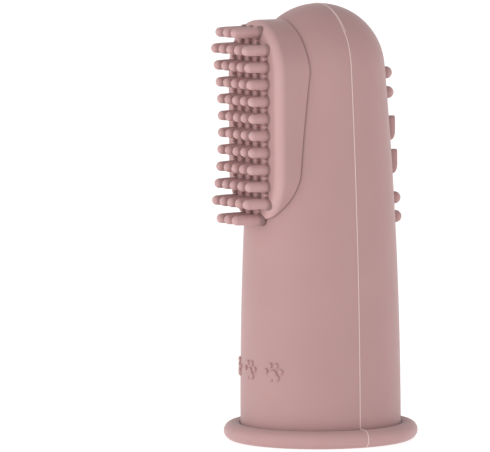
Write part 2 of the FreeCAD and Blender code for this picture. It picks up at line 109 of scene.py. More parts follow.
class ThimbleSizes(bpy.types.PropertyGroup):
    mouth_wall: length("Wall at the mouth", "Wall thickness at the mouth", 0.85 * MM)
    dome_radius: length("Dome radius", "Outside of the fingertip dome", 7.65 * MM)
    dome_wall: length("Dome wall", "Wall thickness of the dome", 1.1 * MM)
    lead_in: length("Lead-in", "Round that leads the finger into the bore", 1.3 * MM)
    land: length("Bore land", "Length of the straight part of the bore", 6.0 * MM)
    bead_radius: length("Bead radius", "Half-round section of the rim bead", 1.03 * MM)
    crease: length("Crease", "Width and depth of the crease behind the bead", 0.2 * MM)
    shoulder: length("Shoulder", "Bead's top above its inner shoulder", 0.14 * MM)
    shoulder_lip: length("Shoulder lip", "Crease's outer edge above the shoulder", 0.02 * MM)
    steps: IntProperty(name="Steps round", description="Divisions round the bore",
                       default=192, min=32)


class PadSizes(bpy.types.PropertyGroup):
    edge_round: length("Edge round", "Round along the edge of the pad's face", 1.1 * MM)
    crease: length("Crease", "Width and depth of the crease round the pad's foot", 0.2 * MM)


class BristleSizes(bpy.types.PropertyGroup):
    root_radius: length("Root radius", "Bristle at its root", 0.65 * MM)
    tip_radius: length("Tip radius", "Round tip of a bristle", 0.56 * MM)
    root_round: length("Root round", "Round where a bristle runs into the pad", 0.14 * MM)
    root_depth: length("Root depth", "How far a bristle is sunk into the pad", 0.3 * MM)
    pitch: length("Column pitch", "Bristle to bristle, across the pad", 1.86 * MM)
    stud_radius: length("Stud radius", "Short stud between the rows", 0.26 * MM)
    stud_taper: share("Stud taper", "Stud's tip, as a share of its root", 0.96)
    stud_round: length("Stud's root round", "Round where a stud leaves the pad", 0.06 * MM)
    stud_depth: length("Stud depth", "How far a stud is sunk into the pad", 0.2 * MM)


class NubSizes(bpy.types.PropertyGroup):
    column_angle: angle("Column angle", "One nub column to the next, round the back", 17.5)
    dome_radius: length("Round nub", "Radius of a round nub", 0.72 * MM)
    dome_height: length("Round nub height", "Round nub above the wall", 0.95 * MM)
    dome_round: length("Root round", "Round where a round nub leaves the wall", 0.12 * MM)
    dome_depth: length("Root depth", "How far a round nub is sunk into the wall", 0.3 * MM)
    bar_length: length("Bar length", "Upright bar, end to end", 2.85 * MM)
    bar_width: length("Bar width", "Upright bar, side to side", 1.15 * MM)
    bar_height: length("Bar height", "Upright bar above the wall at its top", 0.72 * MM)
    bar_corner: length("Bar's corners", "Round of the bar's upright corners", 0.42 * MM)
    bar_edge: length("Bar's edges", "Round of the bar's top edges", 0.28 * MM)
    bar_straight: share("Bar's flat", "Share of the bar's length before it sinks away", 0.58)
    bar_tip: share("Bar's tip", "Height of the bar's lower end, as a share of the whole", 0.3)


class PrintSizes(bpy.types.PropertyGroup):
    spacing: angle("Spacing", "One paw print to the next, round the foot", 25)
    relief: length("Relief", "Raised pads above the wall", 0.25 * MM)
    depth: length("Depth", "How far the pads are sunk into the wall", 0.2 * MM)
    middle_lobe: length("Middle lobe", "Radius of the large pad's middle lobe", 0.56 * MM)
    side_lobe: length("Side lobe", "Radius of the large pad's side lobes", 0.44 * MM)
    toe: length("Toe", "Radius of a toe pad", 0.3 * MM)


class FlashSizes(bpy.types.PropertyGroup):
    line: length("Line", "Half the width of the thin flash on the parting line", 0.058 * MM)
    ring: length("Ring", "Half the width of the flash round the mouth", 0.05 * MM)
    proud: length("Proud", "How far the flash stands out of the wall", 0.03 * MM)


class SiliconeFinish(bpy.types.PropertyGroup):
    body: colour("Silicone", "Colour of the moulding", (0.47, 0.283, 0.277))
    tone: share("Tone", "Strength of the faint clouding in the colour", 0.06)
    # Strength of the painted highlight on crests and of the painted shade in hollows.
    edge: share("Edge", "How much paler the edges are, and how much deeper the hollows", 0.7)
    roughness: share("Roughness", "Satin of the moulded surface", 0.55)
    # Paler than the body: partly the thin flash's own translucency, partly a painted highlight
    # along its ridge.
    flash: colour("Flash", "Colour of the thin flash at the parting line", (0.80, 0.60, 0.57))


class StageSettings(bpy.types.PropertyGroup):
    azimuth: angle("Azimuth", "Camera's direction round the brush", 61.5)
    elevation: angle("Elevation", "Camera's height over the brush's middle", 5.1)
    distance: length("Distance", "Camera to the brush", 0.6655)
    focal: FloatProperty(name="Focal length", description="Camera's lens in millimetres",
                         default=420.4)
    aim: length("Aim", "Height that the camera looks at", 24.9 * MM)
    beside: length("Beside", "How far the camera looks past the bore's axis", 8.68 * MM)
    roll: angle("Roll", "Camera's turn about its own line of sight", 0.36)
    floor: colour("Floor", "Colour of the floor", (0.55, 0.55, 0.55))
    floor_glow: share("Floor glow", "Light that the floor adds of its own", 0.74)
    horizon: share("Horizon", "Even light from all round, near the floor", 1.0)
    zenith: share("Zenith", "Even light from above", 0.55)
    key: FloatProperty(name="Key", description="Power of the large soft light", default=2.0)
    fill: FloatProperty(name="Fill", description="Power of the light beside it", default=0.7)
    key_side: angle("Key's side", "Key light, round from the camera", -60)
    fill_side: angle("Fill's side", "Fill light, round from the camera", 55)
    light_rise: angle("Lights' rise", "Height of both lights over the brush's middle", 8)
    light_distance: length("Lights' distance", "Both lights to the brush", 0.7)
    light_size: length("Lights' size", "Side of each soft light", 0.5)
    haze: share("Haze", "How far up the even light changes, as the sine of its height", 0.4)


# --------------------------------------------------------------- modelling by hand

def clear_selection():
    """Leave edit mode and select nothing."""
    if bpy.context.object and bpy.context.object.mode != "OBJECT":
        bpy.ops.object.mode_set(mode="OBJECT")
    bpy.ops.object.select_all(action="DESELECT")


def take(piece):
    """Select one object alone and make it the active one."""
    clear_selection()
    piece.select_set(True)
    bpy.context.view_layer.objects.active = piece
    return piece


def named(name):
    """Name the object that was just added, and its mesh."""
    piece = bpy.context.object
    piece.name = name
    piece.data.name = name
    return piece


def edit(piece):
    """Open one object in edit mode."""
    take(piece)
    bpy.ops.object.mode_set(mode="EDIT")


def leave_edit():
    bpy.ops.object.mode_set(mode="OBJECT")


def pick(kind, test):
    """In edit mode, select the vertices, edges or faces that pass a test, and no others."""
    bpy.context.tool_settings.mesh_select_mode = (
        kind == "verts", kind == "edges", kind == "faces")
    bpy.ops.mesh.select_all(action="DESELECT")
    mesh = bmesh.from_edit_mesh(bpy.context.object.data)
    for element in getattr(mesh, kind):
        if test(element):
            element.select_set(True)
    mesh.select_flush_mode()
    bmesh.update_edit_mesh(bpy.context.object.data)


def apply_place(piece):
    """Put an object's place, turn and scale into its mesh."""
    take(piece)
    bpy.ops.object.transform_apply(location=True, rotation=True, scale=True)
    return piece


def weld(piece):
    """Merge doubled points and turn every face outwards."""
    edit(piece)
    bpy.ops.mesh.select_all(action="SELECT")
    bpy.ops.mesh.remove_doubles(threshold=0.001 * MM)
    bpy.ops.mesh.normals_make_consistent(inside=False)
    leave_edit()
    return piece


def copy_of(piece, name, location=(0, 0, 0), rotation=(0, 0, 0)):
    """A copy with its own mesh, put in its place."""
    take(piece)
    bpy.ops.object.duplicate(linked=False)
    copy = named(name)
    copy.rotation_euler = rotation
    copy.location = location
    return apply_place(copy)


def join(name, pieces):
    """Join several pieces into one, and name it."""
    clear_selection()
    for piece in pieces:
        piece.select_set(True)
    bpy.context.view_layer.objects.active = pieces[0]
    bpy.ops.object.join()
    return named(name)


def discard(piece):
    take(piece)
    bpy.ops.object.delete()


def modify(piece, kind, **settings):
    """Add a modifier, set it and apply it."""
    take(piece)
    bpy.ops.object.modifier_add(type=kind)
    modifier = piece.modifiers[-1]
    for setting, value in settings.items():
        setattr(modifier, setting, value)
    bpy.ops.object.modifier_apply(modifier=modifier.name)
    return piece


def paint_light_by(piece, tone):
    """Store the painted light of each point of a piece: 1 for a painted highlight on a crest, -1
    for painted shade in a hollow.
    """
    shade = piece.data.attributes.new(PAINTED_LIGHT, "FLOAT", "POINT")
    for vert, value in zip(piece.data.vertices, shade.data):
        value.value = tone(vert)
    return piece


def close_on_axis(rise):
    """Draw the selected ring together into a point on the axis."""
    bpy.ops.mesh.extrude_edges_move(TRANSFORM_OT_translate={"value": (0, 0, rise)})
    bpy.ops.mesh.merge(type="CENTER")


def turned(name, profile, steps):
    """Turn a profile of (radius, height) points round the Z axis, ring by ring."""
    rings = [point for point in profile if point[0] > 0]
    first_radius, first_height = rings[0]
    clear_selection()
    bpy.ops.mesh.primitive_circle_add(vertices=steps, radius=first_radius)
    piece = named(name)
    edit(piece)
    bpy.ops.mesh.select_all(action="SELECT")
    bpy.ops.transform.translate(value=(0, 0, first_height))
    for (radius, height), (next_radius, next_height) in zip(rings, rings[1:]):
        bpy.ops.mesh.extrude_edges_move(
            TRANSFORM_OT_translate={"value": (0, 0, next_height - height)})
        growth = next_radius / radius
        bpy.ops.transform.resize(value=(growth, growth, 1),
                                 center_override=(0, 0, next_height))
    if profile[-1][0] == 0:
        close_on_axis(profile[-1][1] - rings[-1][1])
    if profile[0][0] == 0:
        pick("verts", lambda vert: abs(vert.co.z - first_height) < 1e-7
             and abs(vert.co.xy.length - first_radius) < 1e-6)
        close_on_axis(profile[0][1] - first_height)
    leave_edit()
    return weld(piece)


def bow(centre, radius, start, end, steps):
    """Points along an arc, from one angle in degrees to another."""
    angles = [math.radians(start + (end - start) * step / steps) for step in range(steps + 1)]
    return [(centre[0] + radius * math.cos(a), centre[1] + radius * math.sin(a))
            for a in angles]


def on_the_axis(profile):
    """A profile whose ends are drawn exactly onto the axis."""
    return [(0.0 if abs(radius) < 1e-9 else radius, height) for radius, height in profile]


# --------------------------------------------------------------------------- silicone

CLOUD_SCALE = 140.0
TOOTH_SCALE = 9000.0
TOOTH_DEPTH = 0.02 * MM


def silicone(name, tint, roughness, tone, edge):
    """Satin moulded rubber: faint clouding, a painted highlight on its edges, painted shade in
    its hollows and a fine tooth.
    """
    material = bpy.data.materials.new(name)
    material.use_nodes = True
    nodes, links = material.node_tree.nodes, material.node_tree.links
    shader = nodes["Principled BSDF"]
    place = nodes.new("ShaderNodeTexCoord")
    clouds = nodes.new("ShaderNodeTexNoise")
    clouds.inputs["Scale"].default_value = CLOUD_SCALE
    clouds.inputs["Detail"].default_value = 3.0
    clouds.inputs["Roughness"].default_value = 0.45
    links.new(place.outputs["Object"], clouds.inputs["Vector"])
    shade(nodes, links, clouds, tint, tone, edge)

    satin = nodes.new("ShaderNodeMapRange")
    satin.inputs["To Min"].default_value = roughness - 0.05
    satin.inputs["To Max"].default_value = roughness + 0.05
    links.new(clouds.outputs["Fac"], satin.inputs["Value"])
    links.new(satin.outputs["Result"], shader.inputs["Roughness"])

    tooth = nodes.new("ShaderNodeTexNoise")
    tooth.inputs["Scale"].default_value = TOOTH_SCALE
    tooth.inputs["Detail"].default_value = 2.0
    links.new(place.outputs["Object"], tooth.inputs["Vector"])
    bump = nodes.new("ShaderNodeBump")
    bump.inputs["Strength"].default_value = 0.12
    bump.inputs["Distance"].default_value = TOOTH_DEPTH
    links.new(tooth.outputs["Fac"], bump.inputs["Height"])
    links.new(bump.outputs["Normal"], shader.inputs["Normal"])

    shader.inputs["IOR"].default_value = 1.42
    shader.inputs["Specular IOR Level"].default_value = 0.35
    shader.inputs["Subsurface Weight"].default_value = 0.15
    shader.inputs["Subsurface Radius"].default_value = (1.0, 0.45, 0.38)
    shader.inputs["Subsurface Scale"].default_value = 0.3 * MM
    shader.inputs["Sheen Weight"].default_value = 0.3
    shader.inputs["Sheen Roughness"].default_value = 0.35
    shader.inputs["Sheen Tint"].default_value = (1.0, 0.95, 0.94, 1.0)
    return material


def shade(nodes, links, clouds, tint, tone, edge):
    """Colour the rubber: clouded at random, with a painted highlight on its crests and painted
    shade in its hollows.
    """
    clouding = blend_of(nodes, [c * (1 - tone) for c in tint],
                        [min(1.0, c * (1 + tone)) for c in tint])
    links.new(clouds.outputs["Fac"], clouding.inputs["Factor"])

    painted_light_attribute = nodes.new("ShaderNodeAttribute")
    painted_light_attribute.attribute_name = PAINTED_LIGHT
    # Painted highlight: the positive part of the painted light makes the colour paler on crests.
    crest = nodes.new("ShaderNodeMapRange")
    crest.inputs["To Max"].default_value = edge
    links.new(painted_light_attribute.outputs["Fac"], crest.inputs["Value"])
    painted_highlight = blend_of(nodes, tint, [c * 1.25 + 0.05 for c in tint])
    links.new(crest.outputs["Result"], painted_highlight.inputs["Factor"])
    links.new(clouding.outputs["Result"], painted_highlight.inputs["A"])

    # Painted shade: the negative part of the painted light makes the colour darker in hollows.
    painted_shade_amount = nodes.new("ShaderNodeMapRange")
    painted_shade_amount.inputs["From Max"].default_value = -1.0
    painted_shade_amount.inputs["To Max"].default_value = edge
    links.new(painted_light_attribute.outputs["Fac"], painted_shade_amount.inputs["Value"])
    painted_shade = blend_of(nodes, tint, [c * 0.4 for c in tint])
    links.new(painted_shade_amount.outputs["Result"], painted_shade.inputs["Factor"])
    links.new(painted_highlight.outputs["Result"], painted_shade.inputs["A"])
    links.new(painted_shade.outputs["Result"], nodes["Principled BSDF"].inputs["Base Color"])


def blend_of(nodes, first, second):
    """A node that blends two colours."""
    blend = nodes.new("ShaderNodeMix")
    blend.data_type = "RGBA"
    blend.inputs["A"].default_value = [*first, 1]
    blend.inputs["B"].default_value = [*second, 1]
    return blend


def finish_of(kind):
    """The material of the moulding, or of its flash with its partly painted highlight, made once.
    """
    found = bpy.data.materials.get(kind)
    if found:
        return found
    finish = bpy.context.scene.brush_finish
    if kind == "silicone_flash":
        return silicone(kind, finish.flash, finish.roughness, 0.02, 0.0)
    return silicone(kind, finish.body, finish.roughness, finish.tone, finish.edge)


def finished(piece, nodes=(), body=MOULDING, kind="silicone_satin", smooth=40):
    """Shade a piece, give it its finish and its body, and hide the frame nodes that it stands
    for.
    """
    take(piece)
    bpy.ops.object.shade_smooth_by_angle(angle=math.radians(smooth))
    piece.data.materials.clear()
    piece.data.materials.append(finish_of(kind))
    if nodes:
        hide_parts(*nodes)
    if body:
        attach(piece, body)
    return piece


# --------------------------------------------------------------------- the thimble's shape

def side_bend(foot, start, crown, crown_height):
    """Radius and span of the arc that leaves a foot upright and flows into the dome."""
    rise = crown_height - start
    bend = (rise ** 2 + foot ** 2 - crown ** 2) / (2 * (foot - crown))
    return bend, math.degrees(math.atan2(rise, bend - foot))


def wall_radius(height):
    """Outside radius of the thimble at a height, up to the foot of the dome."""
    sizes = bpy.context.scene.brush_thimble
    foot = BORE_RADIUS + sizes.mouth_wall
    start = 2 * sizes.bead_radius
    bend, _ = side_bend(foot, start, sizes.dome_radius, TOTAL_HEIGHT - sizes.dome_radius)
    return foot - bend + math.sqrt(bend ** 2 - (height - start) ** 2)


def outer_profile(lift=0.0):
    """The outside of the thimble, or a skin lifted off it, from the dome down to the bead."""
    sizes = bpy.context.scene.brush_thimble
    foot = BORE_RADIUS + sizes.mouth_wall
    start = 2 * sizes.bead_radius
    dome = sizes.dome_radius
    dome_height = TOTAL_HEIGHT - dome
    bend, span = side_bend(foot, start, dome, dome_height)
    crown = bow((0, dome_height), dome + lift, 90, span, 24)
    side = bow((foot - bend, start), bend + lift, span, 0, 30)
    return on_the_axis(crown + side[1:])


def inner_profile():
    """The bore, from the round in its mouth up to the top of its ceiling."""
    sizes = bpy.context.scene.brush_thimble
    dome_height = TOTAL_HEIGHT - sizes.dome_radius
    crown = sizes.dome_radius - sizes.dome_wall
    land_top = sizes.lead_in + sizes.land
    bend, span = side_bend(BORE_RADIUS, land_top, crown, dome_height)
    lip = bow((BORE_RADIUS + sizes.lead_in, sizes.lead_in), sizes.lead_in,
              180 + lip_angle(), 180, 8)
    side = bow((BORE_RADIUS - bend, land_top), bend, 0, span, 24)
    ceiling = bow((0, dome_height), crown, span, 90, 20)
    return on_the_axis(lip + side + ceiling[1:])


def lip_angle():
    """How far round the mouth's lead-in the outside of the wall lies, in degrees."""
    sizes = bpy.context.scene.brush_thimble
    return math.degrees(math.acos((sizes.lead_in - sizes.mouth_wall) / sizes.lead_in))


class ThimbleOperator(bpy.types.Operator):
    """Turn the finger sleeve, with its bore and its dome, and the bead round its mouth"""
    bl_idname = "brush.thimble"
    bl_label = "Thimble and rim"

    # Painted light on the rim bead: painted shade in the crease and at the foot, a painted
    # highlight along the outside.
    CREASE_TONE = -0.8
    CREASE_REACH = 0.5 * MM
    OUTSIDE_PAINTED_HIGHLIGHT = 0.25
    FOOT_PAINTED_SHADE = -0.45

    def execute(self, context):
        sizes = context.scene.brush_thimble
        sleeve = turned("finger_sleeve_skin", outer_profile() + inner_profile(), sizes.steps)
        finished(sleeve, ["finger_sleeve"])
        self.rim(sizes)
        return {"FINISHED"}

    def rim(self, sizes):
        foot = BORE_RADIUS + sizes.mouth_wall
        bead = sizes.bead_radius
        middle = RIM_RADIUS - bead
        lead = (BORE_RADIUS + sizes.lead_in, sizes.lead_in)
        shoulder = RIM_HEIGHT - sizes.shoulder
        half_round = bow((middle, bead), bead, -90, 90, 28)
        crease = [(foot + sizes.crease, shoulder + sizes.shoulder_lip),
                  (foot + 0.4 * sizes.crease, shoulder - 0.6 * sizes.crease),
                  (foot, shoulder - sizes.crease)]
        lip = bow(lead, sizes.lead_in, 180 + lip_angle(), 270, 8)
        profile = half_round + crease + lip
        profile.append(profile[0])
        rim = turned("base_rim_bead", profile, sizes.steps)
        paint_light_by(rim, lambda vert: self.rim_painted_light(
            vert.co.xy.length, vert.co.z, foot, shoulder, middle))
        finished(rim, ["base_rim"])

    def rim_painted_light(self, reach, height, foot, shoulder, middle):
        """Painted shade deep in the crease behind the bead, a painted highlight along its outside
        and painted shade at its foot.
        """
        if reach < middle and height > shoulder - self.CREASE_REACH:
            return self.CREASE_TONE * (middle - reach) / (middle - foot)
        outside = max(0.0, (reach - middle) / (RIM_RADIUS - middle))
        under = max(0.0, 1 - height / RIM_HEIGHT * 2)
        return self.OUTSIDE_PAINTED_HIGHLIGHT * outside + self.FOOT_PAINTED_SHADE * under


# -------------------------------------------------------------------------------- the pad

class PadOperator(bpy.types.Operator):
    """Extrude the bristle pad, round its edge, fit its back to the wall and crease its foot"""
    bl_idname = "brush.pad"
    bl_label = "Bristle pad"

    OUTLINE_STEPS = 96
    CORE_STEPS = 256
    NECK_SINK = 0.25 * MM
    NEAR = 0.1 * MM

    def execute(self, context):
        sizes = context.scene.brush_pad
        slab = self.fitted(self.slab("pad_slab", 0.0, sizes.edge_round), sizes.crease)
        neck = self.fitted(self.slab("pad_neck", sizes.crease, sizes.edge_round), -self.NECK_SINK)
        modify(slab, "BOOLEAN", operation="UNION", solver="EXACT", object=neck)
        discard(neck)
        slab.name = slab.data.name = "bristle_pad"
        # Painted light on the pad: a painted highlight on the edge's round, painted shade in the
        # crease.
        paint_light_by(slab, lambda vert: self.tone(vert, sizes))
        finished(slab, ["brush_pad"], smooth=35)
        return {"FINISHED"}

    def slab(self, name, inset, edge_round):
        """An upright slab with round ends, from the bore's axis out to the pad's face."""
        half_width = PAD_HIGH.x - inset
        straight = (PAD_HIGH.z - PAD_LOW.z) / 2 - PAD_HIGH.x
        face = PAD_FACE - inset
        steps = self.OUTLINE_STEPS
        round_depth = 1.5 * edge_round
        round_inset = 1.4 * edge_round
        clear_selection()
        bpy.ops.mesh.primitive_circle_add(
            vertices=steps, radius=half_width, fill_type="NGON",
            location=(0, -face, PAD_MIDDLE), rotation=(math.radians(90), math.pi / steps, 0))
        slab = apply_place(named(name))
        edit(slab)
        pick("verts", lambda vert: vert.co.z > PAD_MIDDLE)
        bpy.ops.transform.translate(value=(0, 0, straight))
        pick("verts", lambda vert: vert.co.z < PAD_MIDDLE)
        bpy.ops.transform.translate(value=(0, 0, -straight))
        bpy.ops.mesh.select_all(action="SELECT")
        for step in (round_depth, face - round_depth):
            bpy.ops.mesh.extrude_region_move(TRANSFORM_OT_translate={"value": (0, step, 0)})
        pick("faces", lambda polygon: polygon.normal.y < -0.9)
        bpy.ops.mesh.inset(thickness=round_inset)
        pick("edges", lambda edge: all(
            vert.co.y < 1e-6 - face and self.on_outline(vert.co, half_width, straight)
            for vert in edge.verts))
        bpy.ops.mesh.bevel(offset=edge_round, segments=8, profile=0.5, affect="EDGES")
        leave_edit()
        return weld(slab)

    def tone(self, vert, sizes):
        """A painted highlight along the middle of the edge's round, and painted shade inside the
        crease.
        """
        if vert.co.y < sizes.edge_round - PAD_FACE:
            facing = min(1.0, max(0.0, -vert.normal.y))
            return 2 * facing * math.sqrt(1 - facing ** 2)
        straight = (PAD_HIGH.z - PAD_LOW.z) / 2 - PAD_HIGH.x
        outline = PAD_HIGH.x - 0.5 * sizes.crease
        return 0.0 if self.outline_reach(vert.co, straight) > outline else -1.0

    def outline_reach(self, point, straight):
        """How far a point lies from the upright line through the slab's two round ends."""
        past = max(0.0, abs(point.z - PAD_MIDDLE) - straight)
        return math.hypot(point.x, past)

    def on_outline(self, point, half_width, straight):
        """True for a point on the rim of the upright outline with round ends."""
        return self.outline_reach(point, straight) > half_width - self.NEAR

    def fitted(self, slab, lift):
        """Cut the thimble's own shape, grown by a lift, out of the back of a slab."""
        core = turned("pad_core", self.core_profile(lift), self.CORE_STEPS)
        modify(slab, "BOOLEAN", operation="DIFFERENCE", solver="EXACT", object=core)
        discard(core)
        return slab

    def core_profile(self, lift):
        """The thimble's outside, grown by a lift and closed below the mouth."""
        profile = outer_profile(lift)
        below = -5 * MM
        return profile + [(profile[-1][0], below), (0.0, below)]


# --------------------------------------------------------------------- bristles and studs

def post_profile(root, tip, height, flare, depth):
    """A tapered post with a round tip and a flared root, sunk a little into its base."""
    base = [(0.0, -depth), (root + flare, -depth)]
    root_round = [(root + flare - flare * math.sin(math.radians(a)),
                   flare - flare * math.cos(math.radians(a))) for a in range(0, 91, 18)]
    stem = height - tip - flare
    shaft = [(root + (tip - root) * share_up, flare + stem * share_up)
             for share_up in (0.25, 0.5, 0.75)]
    end = bow((0, height - tip), tip, 0, 90, 8)
    return on_the_axis(base + root_round + shaft + end)


ROOT_SHARE = 0.25


def post_painted_light(height, tip, shaft):
    """Painted light of a post: painted shade at its root, a set level of painted light along its
    shaft and a painted highlight at its tip.
    """
    def tone(vert):
        rise = vert.co.z / (height - tip)
        if rise < 1:
            return -1 + (1 + shaft) * min(1.0, max(0.0, rise) / ROOT_SHARE)
        return shaft + (1 - shaft) * (vert.co.z - height + tip) / tip
    return tone


def columns_across(node):
    """Across positions of the bristles of a frame node, from its box."""
    sizes = bpy.context.scene.brush_bristles
    low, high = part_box(node)
    radius = sizes.root_radius if node.startswith("bristle") else sizes.stud_radius
    count = round((high.x - low.x - 2 * radius) / sizes.pitch) + 1
    return [(column - (count - 1) / 2) * sizes.pitch for column in range(count)]


OUT_OF_PAD = (math.radians(90), 0, 0)


class BristlesOperator(bpy.types.Operator):
    """Model one bristle, stretch it for each row and set the rows into the pad"""
    bl_idname = "brush.bristles"
    bl_label = "Bristles"

    SIDES = 28
    # Painted highlight along the shaft of each bristle.
    SHAFT_PAINTED_HIGHLIGHT = 0.5
    STRETCH_FROM = 0.8 * MM

    def execute(self, context):
        sizes = context.scene.brush_bristles
        rows = range(1, len(JOINTS) + 1)
        shortest = min(self.reach(row) for row in rows)
        bristle = turned("bristle", post_profile(
            sizes.root_radius, sizes.tip_radius, shortest, sizes.root_round,
            sizes.root_depth), self.SIDES)
        for row in rows:
            self.row(row, bristle, self.reach(row) - shortest)
        discard(bristle)
        return {"FINISHED"}

    def reach(self, row):
        """How far a row's bristles stand out of the pad."""
        low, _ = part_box(f"bristle_row_{row:02d}")
        return -low.y - PAD_FACE

    def row(self, row, bristle, stretch):
        node = f"bristle_row_{row:02d}"
        height = ROW_HEIGHTS[row - 1]
        longer = copy_of(bristle, "longer_bristle")
        edit(longer)
        pick("verts", lambda vert: vert.co.z > self.STRETCH_FROM)
        bpy.ops.transform.translate(value=(0, 0, stretch))
        leave_edit()
        sizes = bpy.context.scene.brush_bristles
        paint_light_by(longer, post_painted_light(self.reach(row), sizes.tip_radius, self.SHAFT_PAINTED_HIGHLIGHT))
        copies = [copy_of(longer, f"bristle_{column}", (across, -PAD_FACE, height), OUT_OF_PAD)
                  for column, across in enumerate(columns_across(node))]
        discard(longer)
        piece = join(f"bristles_{row:02d}", copies)
        finished(piece, [node], body=None, smooth=60)
        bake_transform(piece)


class StudsOperator(bpy.types.Operator):
    """Model one short stud and set it between the rows of bristles"""
    bl_idname = "brush.studs"
    bl_label = "Studs"

    SIDES = 20

    def execute(self, context):
        sizes = context.scene.brush_bristles
        height = STUD_FACE - PAD_FACE
        stud = turned("stud", post_profile(
            sizes.stud_radius, sizes.stud_radius * sizes.stud_taper, height,
            sizes.stud_round, sizes.stud_depth), self.SIDES)
        # Painted shade at each stud's root and a painted highlight at its tip.
        paint_light_by(stud, post_painted_light(height, sizes.stud_radius, 0.0))
        for row in range(1, len(JOINTS)):
            node = f"stud_row_{row:02d}"
            low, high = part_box(node)
            middle = (low.z + high.z) / 2
            copies = [copy_of(stud, f"stud_{column}", (across, -PAD_FACE, middle), OUT_OF_PAD)
                      for column, across in enumerate(columns_across(node))]
            finished(join(f"studs_{row:02d}", copies), [node], smooth=60)
        discard(stud)
        return {"FINISHED"}


# ------------------------------------------------------------------------ nubs and prints

def on_wall(angle_round, height, lift=0.0):
    """A place on the wall and the turn that points a piece's own +Z straight out."""
    reach = wall_radius(height) + lift
    place = (reach * math.cos(angle_round), reach * math.sin(angle_round), height)
    return place, (0, math.radians(90), angle_round)


class NubsOperator(bpy.types.Operator):
    """Model a round nub and an upright bar, and set their rows round the back"""
    bl_idname = "brush.nubs"
    bl_label = "Massage nubs"

    SIDES = 36
    # Painted highlight over a nub's top, and as much painted shade at its root.
    TOP_PAINTED_LIGHT = 0.35
    BAR_SECTIONS = 14

    def execute(self, context):
        sizes = context.scene.brush_nubs
        radius = sizes.dome_radius
        dome = turned("dome_nub", post_profile(
            radius, radius, sizes.dome_height, sizes.dome_round, sizes.dome_depth), self.SIDES)
        paint_light_by(dome, lambda vert: self.tone(vert, sizes.dome_height))
        for row in range(1, 5):
            self.row(f"massage_dome_row_{row}", f"massage_domes_{row}", dome, sizes)
        discard(dome)
        bar = self.bar(sizes)
        for row in range(1, 3):
            self.row(f"massage_bar_row_{row}", f"massage_bars_{row}", bar, sizes)
        discard(bar)
        return {"FINISHED"}

    def row(self, node, name, nub, sizes):
        low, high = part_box(node)
        height = (low.z + high.z) / 2
        copies = []
        for column in (-1, 0, 1):
            place, turn = on_wall(math.radians(90) + column * sizes.column_angle, height)
            copies.append(copy_of(nub, f"nub_{column + 1}", place, turn))
        finished(join(name, copies), [node], smooth=50)

    def bar(self, sizes):
        """A bar along X, rooted below the plane Z = 0, whose far end sinks away in a curve."""
        clear_selection()
        bpy.ops.mesh.primitive_cube_add(size=1)
        bar = named("bar_nub")
        bar.scale = (sizes.bar_length, sizes.bar_width, 2 * sizes.bar_height)
        edit(apply_place(bar))
        pick("edges", lambda edge: abs(edge.verts[0].co.z - edge.verts[1].co.z) > 0.1 * MM)
        bpy.ops.mesh.bevel(offset=sizes.bar_corner, segments=5, affect="EDGES")
        for cut in range(1, self.BAR_SECTIONS):
            bpy.ops.mesh.select_all(action="SELECT")
            cut_at = (cut / self.BAR_SECTIONS - 0.5) * sizes.bar_length
            bpy.ops.mesh.bisect(plane_co=(cut_at, 0, 0), plane_no=(1, 0, 0))
        mesh = bmesh.from_edit_mesh(bar.data)
        places = sorted({round(vert.co.x, 7) for vert in mesh.verts})
        for place in places:
            along = place / sizes.bar_length + 0.5
            past = max(0.0, (along - sizes.bar_straight) / (1 - sizes.bar_straight))
            left = sizes.bar_tip + (1 - sizes.bar_tip) * math.sqrt(max(0.0, 1 - past ** 2))
            pick("verts", lambda vert: vert.co.z > 0 and abs(vert.co.x - place) < 2e-7)
            bpy.ops.transform.resize(value=(1, 1, left), center_override=(place, 0, 0))
        leave_edit()
        modify(bar, "BEVEL", width=sizes.bar_edge, segments=5, limit_method="ANGLE",
               angle_limit=math.radians(50))
        return paint_light_by(bar, lambda vert: self.tone(vert, sizes.bar_height))

    def tone(self, vert, height):
        """Painted shade at a nub's root and a painted highlight over its top."""
        return min(self.TOP_PAINTED_LIGHT, vert.co.z / height - self.TOP_PAINTED_LIGHT)


